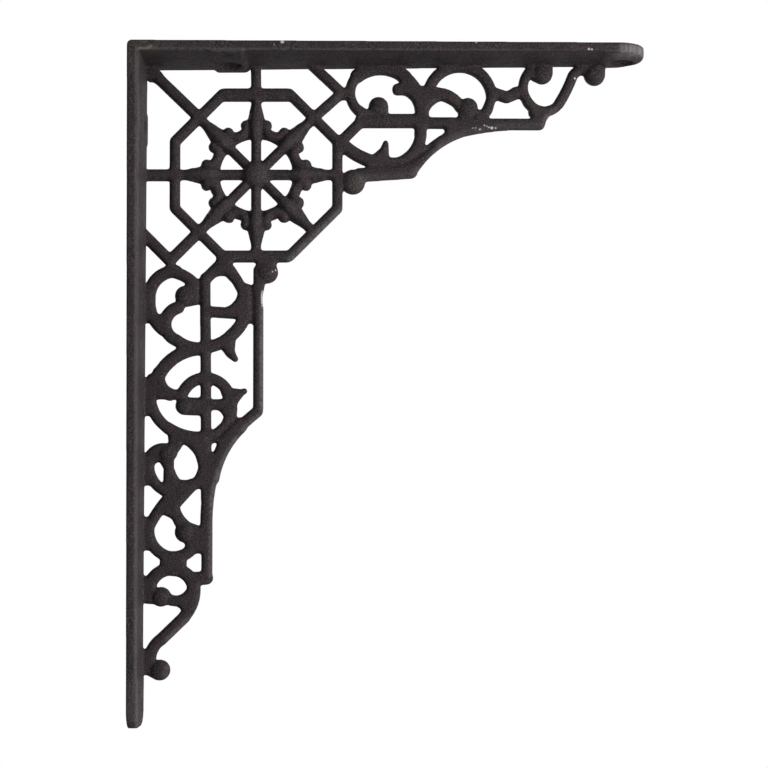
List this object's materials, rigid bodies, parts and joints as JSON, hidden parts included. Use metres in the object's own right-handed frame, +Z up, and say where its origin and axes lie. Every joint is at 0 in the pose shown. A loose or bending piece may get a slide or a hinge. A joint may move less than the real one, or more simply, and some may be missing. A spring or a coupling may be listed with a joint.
{
  "type": "shelf bracket",
  "caption": "Cast iron L-shaped shelf bracket with a pierced filigree web, a wheel in its corner and scrolls to both tips.",
  "frame": {"origin": "on the wall face, half way between the two wall screw holes and in line with them", "axes": "+Z up along the wall strip to the shelf face, +X out from the wall under the shelf, +Y along the wall towards the side that the web is set to; the web's front looks along -Y"},
  "size_m": [0.1886, 0.0289, 0.2492],
  "materials": {
    "cast_iron": "matte sand-cast, near-black brown"
  },
  "bodies": {
    "root": {"shelf_bracket": "cast_iron"}
  },
  "joints": []
}
